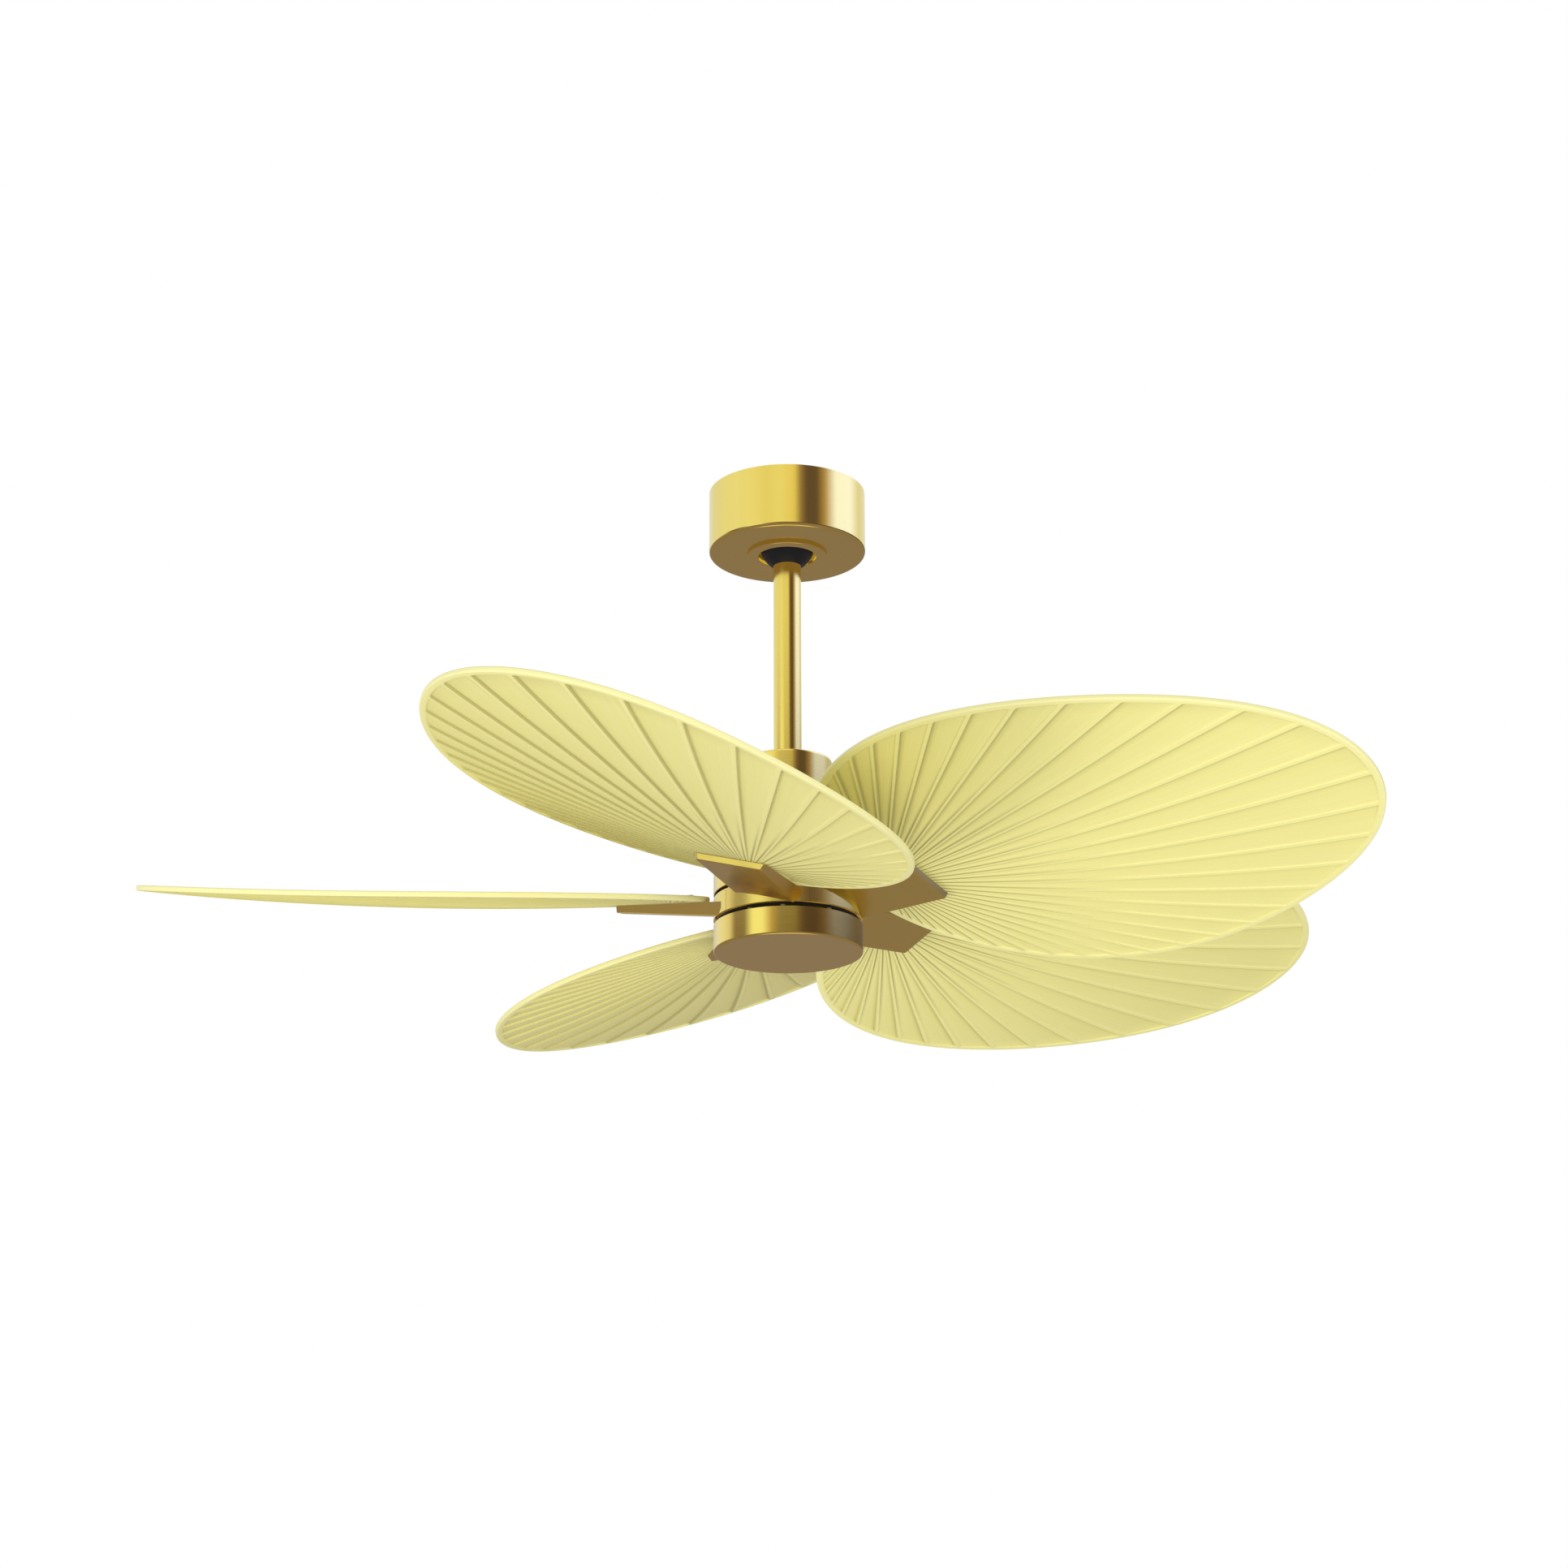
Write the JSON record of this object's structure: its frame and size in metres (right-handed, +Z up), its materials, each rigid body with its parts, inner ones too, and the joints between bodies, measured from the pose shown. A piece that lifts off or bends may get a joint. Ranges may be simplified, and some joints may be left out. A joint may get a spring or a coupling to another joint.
{
  "type": "ceiling fan",
  "caption": "Downrod ceiling fan with broad ribbed palm-leaf blades on a brass-finished drum motor, hung from a swivelling ball in a round canopy.",
  "frame": {"origin": "on the fan's axis in the ceiling plane, midway between the two ceiling-box screw slots of the bracket", "axes": "+Z up into the ceiling along the fan's axis, +X to the right seen from the pictured side, +Y away from that side"},
  "size_m": [1.2263, 1.2683, 0.5024],
  "materials": {
    "satin_brass": "brushed satin brass-finished sheet and tube",
    "cast_brass_finish": "die-cast arm with a satin brass finish",
    "leaf_plastic": "moulded satin plastic leaf, pale straw yellow",
    "black_nylon": "moulded black nylon",
    "plated_sheet": "zinc-plated pressed steel",
    "yoke_iron": "painted casting",
    "case_alloy": "die-cast case, painted black",
    "shaft_steel": "turned steel",
    "screw_steel": "zinc-plated screws",
    "core_steel": "stacked laminations",
    "winding_copper": "enamelled copper wire",
    "magnet_ferrite": "sintered magnet tiles",
    "race_steel": "ground bearing steel",
    "receiver_plastic": "moulded plastic box"
  },
  "bodies": {
    "ceiling_mount": {"ceiling_bracket": "plated_sheet", "receiver": "receiver_plastic", "canopy": "satin_brass", "canopy_ring": "satin_brass", "canopy_screws": "screw_steel"},
    "hanger_cross_pin": {"hanger_pin": "shaft_steel"},
    "hanging": {"hanger_ball": "black_nylon", "hanger_set_screw": "screw_steel", "downrod": "satin_brass", "coupling_cover": "satin_brass", "motor_coupling": "yoke_iron", "coupling_pin": "shaft_steel", "coupling_cotter": "shaft_steel", "coupling_set_screws": "screw_steel", "upper_housing": "satin_brass", "housing_screws": "screw_steel", "motor_shaft": "shaft_steel", "stator_core": "core_steel", "stator_windings": "winding_copper", "bearing_inner_races": "race_steel", "lower_plate": "plated_sheet", "shaft_nut": "screw_steel", "bottom_cap": "satin_brass"},
    "rotor": {"rotor_upper_case": "case_alloy", "rotor_lower_case": "case_alloy", "rotor_magnets": "magnet_ferrite", "bearing_outer_races": "race_steel", "arm_screws": "screw_steel", "blade_screws": "screw_steel", "blade_arm_1": "cast_brass_finish", "blade_arm_2": "cast_brass_finish", "blade_arm_3": "cast_brass_finish", "blade_arm_4": "cast_brass_finish", "blade_arm_5": "cast_brass_finish", "blade_1": "leaf_plastic", "blade_2": "leaf_plastic", "blade_3": "leaf_plastic", "blade_4": "leaf_plastic", "blade_5": "leaf_plastic"}
  },
  "joints": [
    {"name": "hanger_tilt_x", "type": "hinge", "parent": "ceiling_mount", "child": "hanger_cross_pin", "pos_m": [0, 0, -0.056], "axis": [1, 0, 0], "range_deg": [-15, 15]},
    {"name": "hanger_tilt_y", "type": "hinge", "parent": "hanger_cross_pin", "child": "hanging", "pos_m": [0, 0, -0.056], "axis": [0, 1, 0], "range_deg": [-15, 15]},
    {"name": "rotor_spin", "type": "hinge", "parent": "hanging", "child": "rotor", "pos_m": [0, 0, -0.4547], "axis": [0, 0, 1], "continuous": true}
  ]
}
